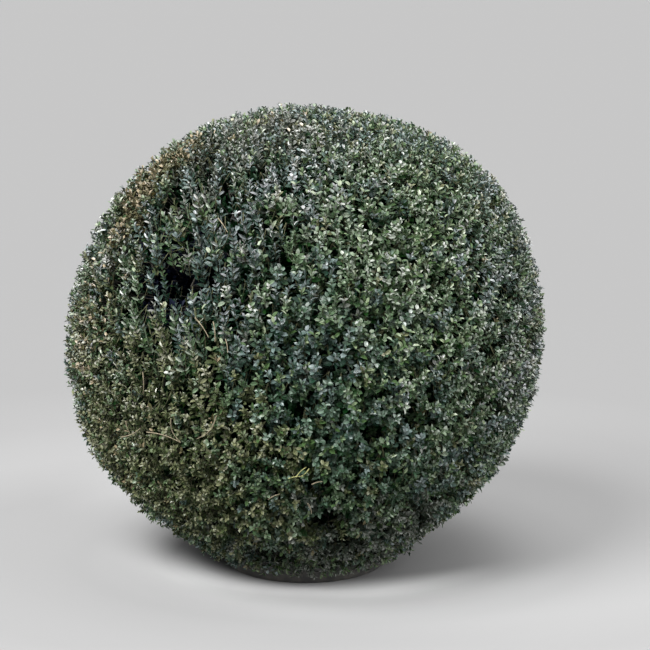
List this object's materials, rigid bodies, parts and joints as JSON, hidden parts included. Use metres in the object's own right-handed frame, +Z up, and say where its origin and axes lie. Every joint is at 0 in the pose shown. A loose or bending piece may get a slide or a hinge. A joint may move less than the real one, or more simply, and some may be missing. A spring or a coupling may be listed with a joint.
{
  "type": "potted boxwood ball topiary",
  "caption": "Boxwood shrub clipped to a dense ball that has grown down over the rim of its plain round pot.",
  "frame": {"origin": "centre of the pot's flat underside, on the ground", "axes": "+Z up along the pot's axis, -Y towards the side that the picture shows, +X to its right"},
  "size_m": [0.9987, 0.9884, 0.9618],
  "materials": {
    "pot": "charcoal moulded plastic, matt, lightly dusted at the foot",
    "soil": "moist dark potting soil with bark crumbs",
    "bark": "pale corky bark with fine furrows, matt",
    "leaf": "small leathery leaves, dark green with a satin upper side"
  },
  "bodies": {
    "root": {"pot": "pot", "soil": "soil", "stem": "bark", "bough_1": "bark", "bough_2": "bark", "bough_3": "bark", "bough_4": "bark", "bough_5": "bark", "bough_6": "bark", "bough_7": "bark", "foliage_ball": "leaf"}
  },
  "joints": []
}
